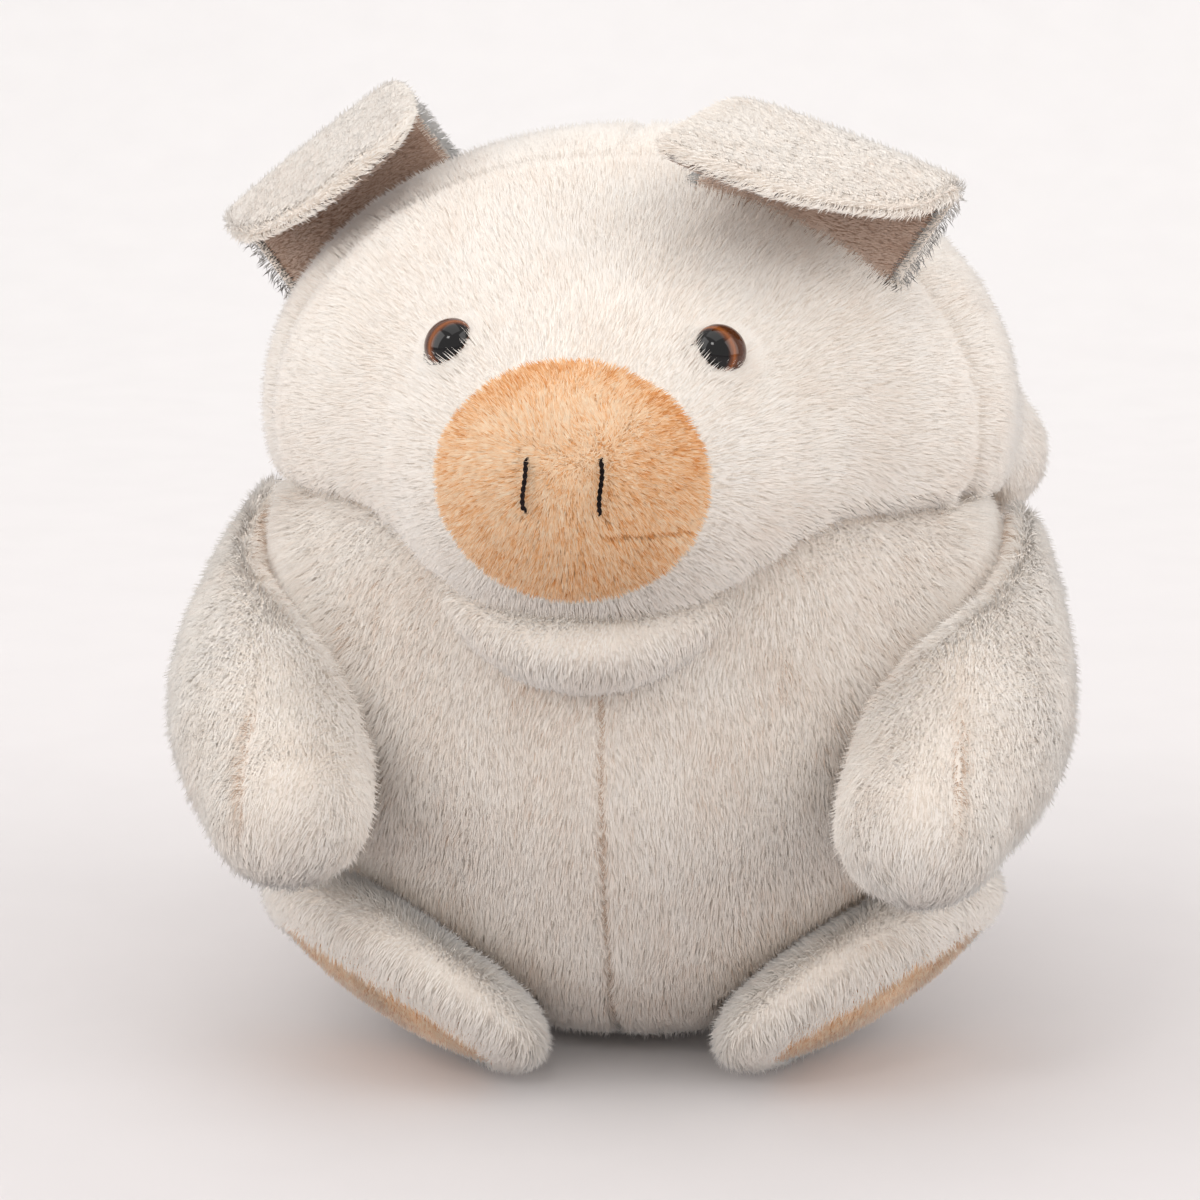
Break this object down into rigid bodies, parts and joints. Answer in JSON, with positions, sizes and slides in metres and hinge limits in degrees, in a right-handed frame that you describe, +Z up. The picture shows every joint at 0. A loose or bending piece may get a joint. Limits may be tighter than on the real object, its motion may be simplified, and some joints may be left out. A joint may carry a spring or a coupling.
{
  "type": "plush pig",
  "caption": "Sitting plush pig with a ball-shaped body, wide tan snout, folded ears, hanging arms and small turned-out feet; stuffed soft toy.",
  "frame": {"origin": "middle of the bottom of the whole toy, on the floor under the seat", "axes": "+Z up, the toy faces -Y, its own left side is at +X"},
  "size_m": [0.2144, 0.214, 0.2331],
  "materials": {
    "cream_plush": "long-pile cream plush",
    "tan_plush": "short-pile tan plush",
    "fibre_fill": "white polyester fibre",
    "bag_cloth": "woven bag filled with pellets",
    "eye_lens": "clear dome over a painted amber iris",
    "eye_back": "black moulded plastic",
    "washer": "white lock washer",
    "thread": "black embroidery thread"
  },
  "bodies": {
    "torso": {"torso_front_left": "cream_plush", "torso_front_right": "cream_plush", "torso_back_left": "cream_plush", "torso_back_right": "cream_plush", "pellet_bag": "bag_cloth", "torso_stuffing": "fibre_fill"},
    "head": {"head_face": "cream_plush", "head_left_cheek": "cream_plush", "head_right_cheek": "cream_plush", "head_back_left": "cream_plush", "head_back_right": "cream_plush", "snout": "tan_plush", "left_nostril_stitch": "thread", "right_nostril_stitch": "thread", "head_stuffing": "fibre_fill", "left_eye_lens": "eye_lens", "left_eye_post": "eye_back", "left_eye_washer": "washer", "right_eye_lens": "eye_lens", "right_eye_post": "eye_back", "right_eye_washer": "washer", "chin": "cream_plush"},
    "left_ear": {"left_ear_outer": "cream_plush", "left_ear_lining": "tan_plush"},
    "right_ear": {"right_ear_outer": "cream_plush", "right_ear_lining": "tan_plush"},
    "left_arm": {"left_arm_outer": "cream_plush", "left_arm_inner": "cream_plush", "left_arm_stuffing": "fibre_fill"},
    "right_arm": {"right_arm_outer": "cream_plush", "right_arm_inner": "cream_plush", "right_arm_stuffing": "fibre_fill"},
    "left_leg": {"left_leg_upper": "cream_plush", "left_leg_sole": "tan_plush", "left_leg_stuffing": "fibre_fill"},
    "right_leg": {"right_leg_upper": "cream_plush", "right_leg_sole": "tan_plush", "right_leg_stuffing": "fibre_fill"},
    "tail": {"tail": "cream_plush"}
  },
  "joints": [
    {"name": "head_turn", "type": "hinge", "parent": "torso", "child": "head", "pos_m": [-0.0014, 0.00323, 0.148], "axis": [0, 0, 1], "range_deg": [-9, 15], "stiffness_Nm_per_rad": 0.6},
    {"name": "left_ear_lift", "type": "hinge", "parent": "head", "child": "left_ear", "pos_m": [0.04257, -0.03136, 0.2046], "axis": [-0.8376, 0.0712, 0.5417], "range_deg": [-4, 35], "stiffness_Nm_per_rad": 0.03},
    {"name": "right_ear_lift", "type": "hinge", "parent": "head", "child": "right_ear", "pos_m": [-0.07141, 0.01512, 0.19781], "axis": [-0.7763, 0.0386, -0.6291], "range_deg": [-4, 35], "stiffness_Nm_per_rad": 0.03},
    {"name": "left_arm_raise", "type": "hinge", "parent": "torso", "child": "left_arm", "pos_m": [0.07871, 0.00909, 0.1184], "axis": [-1, 0, 0], "range_deg": [-1, 45], "stiffness_Nm_per_rad": 0.15},
    {"name": "right_arm_raise", "type": "hinge", "parent": "torso", "child": "right_arm", "pos_m": [-0.07782, 0.00909, 0.1184], "axis": [-1, 0, 0], "range_deg": [-1, 45], "stiffness_Nm_per_rad": 0.15},
    {"name": "left_leg_turn", "type": "hinge", "parent": "torso", "child": "left_leg", "pos_m": [0.05312, -0.03893, 0.03178], "axis": [-0.5997, 0.3498, 0.7197], "range_deg": [0, 15], "stiffness_Nm_per_rad": 0.2},
    {"name": "right_leg_turn", "type": "hinge", "parent": "torso", "child": "right_leg", "pos_m": [-0.046, -0.0484, 0.03178], "axis": [-0.5299, -0.4487, -0.7197], "range_deg": [0, 15], "stiffness_Nm_per_rad": 0.2},
    {"name": "tail_twist", "type": "hinge", "parent": "torso", "child": "tail", "pos_m": [-0.0014, 0.08428, 0.05328], "axis": [0, 1, 0], "range_deg": [-25, 25], "stiffness_Nm_per_rad": 0.008}
  ]
}
